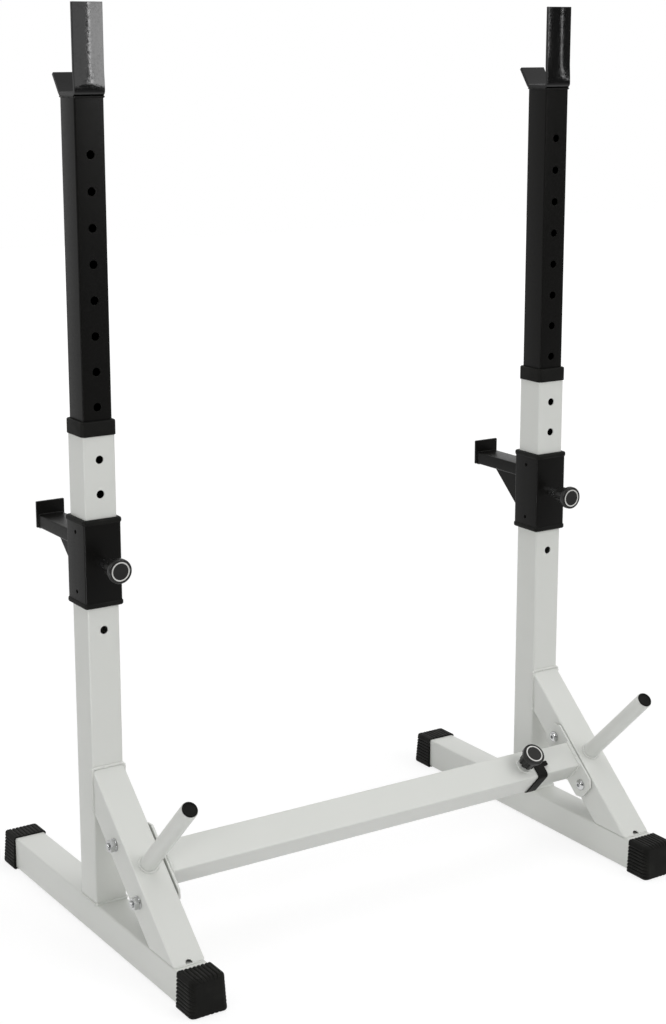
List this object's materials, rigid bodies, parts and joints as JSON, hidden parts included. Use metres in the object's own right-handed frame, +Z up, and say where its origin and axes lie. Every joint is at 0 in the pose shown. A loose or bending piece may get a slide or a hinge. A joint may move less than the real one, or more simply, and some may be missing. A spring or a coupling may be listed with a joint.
{
  "type": "squat stand",
  "caption": "Adjustable squat stand: base frames with telescopic posts and bar cups, sliding spotter arms with locking pins, and a telescopic crossbar.",
  "frame": {"origin": "on the floor, midway between the two base frames and midway along the base rails", "axes": "+X along the crossbar towards the sliding right frame, +Y to the rear, towards the spotter arms, -Y to the front, towards the plate pegs and knobs, +Z up"},
  "size_m": [0.8926, 0.6326, 1.3499],
  "materials": {
    "white_coat": "light grey-white powder coat, satin",
    "black_coat": "black powder coat, satin",
    "black_plastic": "moulded black plastic",
    "bright_steel": "zinc-plated steel"
  },
  "bodies": {
    "left_frame": {"left_base_rail": "white_coat", "left_base_cap_front": "black_plastic", "left_base_cap_rear": "black_plastic", "left_upright": "white_coat", "left_upright_collar": "black_plastic", "left_brace": "white_coat", "left_plate_peg": "white_coat", "left_peg_plug": "black_plastic", "left_joint_plate": "white_coat", "left_bolt_upper": "bright_steel", "left_bolt_lower": "bright_steel", "left_nut_upper": "bright_steel", "left_nut_lower": "bright_steel", "crossbar_outer_tube": "white_coat", "crossbar_end_collar": "black_plastic", "crossbar_plunger_barrel": "bright_steel"},
    "right_frame": {"right_base_rail": "white_coat", "right_base_cap_front": "black_plastic", "right_base_cap_rear": "black_plastic", "right_upright": "white_coat", "right_upright_collar": "black_plastic", "right_brace": "white_coat", "right_plate_peg": "white_coat", "right_peg_plug": "black_plastic", "right_joint_plate": "white_coat", "right_bolt_upper": "bright_steel", "right_bolt_lower": "bright_steel", "right_nut_upper": "bright_steel", "right_nut_lower": "bright_steel", "crossbar_inner_tube": "white_coat", "crossbar_inner_glide": "black_plastic"},
    "crossbar_pin": {"crossbar_plunger_pin": "bright_steel", "crossbar_plunger_spring": "bright_steel", "crossbar_plunger_knob": "black_plastic"},
    "left_post": {"left_inner_post": "black_coat", "left_bar_cup": "black_coat", "left_post_glide": "black_plastic"},
    "left_carriage": {"left_carriage_sleeve": "black_coat", "left_liner_upper": "black_plastic", "left_liner_lower": "black_plastic", "left_spotter_arm": "black_coat", "left_arm_stop": "black_coat", "left_arm_gusset": "black_coat", "left_plunger_barrel": "bright_steel"},
    "left_pin": {"left_plunger_pin": "bright_steel", "left_plunger_spring": "bright_steel", "left_plunger_knob": "black_plastic"},
    "right_post": {"right_inner_post": "black_coat", "right_bar_cup": "black_coat", "right_post_glide": "black_plastic"},
    "right_carriage": {"right_carriage_sleeve": "black_coat", "right_liner_upper": "black_plastic", "right_liner_lower": "black_plastic", "right_spotter_arm": "black_coat", "right_arm_stop": "black_coat", "right_arm_gusset": "black_coat", "right_plunger_barrel": "bright_steel"},
    "right_pin": {"right_plunger_pin": "bright_steel", "right_plunger_spring": "bright_steel", "right_plunger_knob": "black_plastic"}
  },
  "joints": [
    {"name": "crossbar_slide", "type": "slide", "parent": "left_frame", "child": "right_frame", "axis": [1, 0, 0], "range_m": [0, 0.2]},
    {"name": "left_post_slide", "type": "slide", "parent": "left_frame", "child": "left_post", "axis": [0, 0, 1], "range_m": [-0.425, 0.05]},
    {"name": "left_carriage_slide", "type": "slide", "parent": "left_frame", "child": "left_carriage", "axis": [0, 0, 1], "range_m": [-0.1, 0.1]},
    {"name": "left_pin_slide", "type": "slide", "parent": "left_carriage", "child": "left_pin", "axis": [0, -1, 0], "range_m": [-0.01, 0], "deforming": ["left_plunger_spring"]},
    {"name": "right_post_slide", "type": "slide", "parent": "right_frame", "child": "right_post", "axis": [0, 0, 1], "range_m": [-0.425, 0.05]},
    {"name": "right_carriage_slide", "type": "slide", "parent": "right_frame", "child": "right_carriage", "axis": [0, 0, 1], "range_m": [-0.1, 0.1]},
    {"name": "right_pin_slide", "type": "slide", "parent": "right_carriage", "child": "right_pin", "axis": [0, -1, 0], "range_m": [-0.01, 0], "deforming": ["right_plunger_spring"]},
    {"name": "crossbar_pin_slide", "type": "slide", "parent": "left_frame", "child": "crossbar_pin", "axis": [0, -0.6605, 0.7508], "range_m": [-0.0055, 0], "deforming": ["crossbar_plunger_spring"]}
  ]
}
